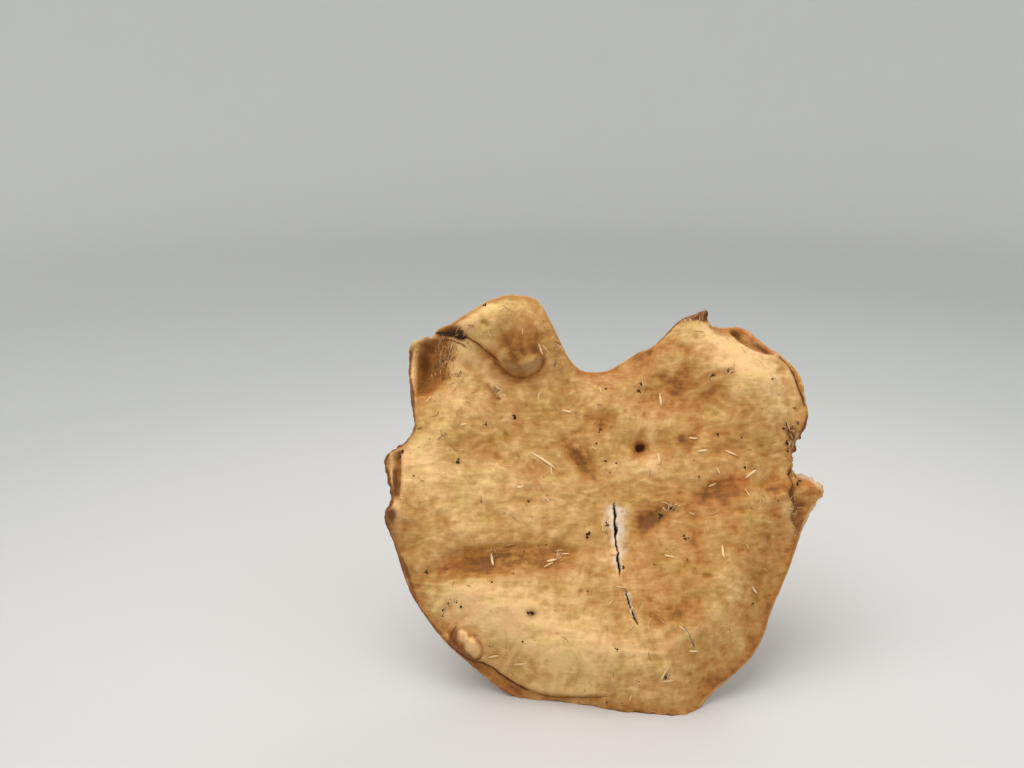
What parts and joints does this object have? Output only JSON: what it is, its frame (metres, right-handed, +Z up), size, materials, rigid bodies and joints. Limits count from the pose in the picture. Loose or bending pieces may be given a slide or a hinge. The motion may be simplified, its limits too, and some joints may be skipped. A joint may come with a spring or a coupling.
{
  "type": "hedgehog mushroom",
  "caption": "Large hedgehog mushroom lying on its side, as picked: a wavy tan cap with a torn, rolled margin and a spiny underside, on a thick off-centre stem.",
  "frame": {"origin": "on the surface that the mushroom lies on, below the middle of its bounding box", "axes": "+Z up; the cap's upper skin faces -Y and leans back, the stem points back along +Y and down; +X is to the right when facing the cap"},
  "size_m": [0.1312, 0.0776, 0.1096],
  "materials": {
    "cap_skin": "matt, dry, suede-like",
    "stem_flesh": "matt, fibrous, stained by handling"
  },
  "bodies": {
    "root": {"cap": "cap_skin", "stem": "stem_flesh"}
  },
  "joints": []
}
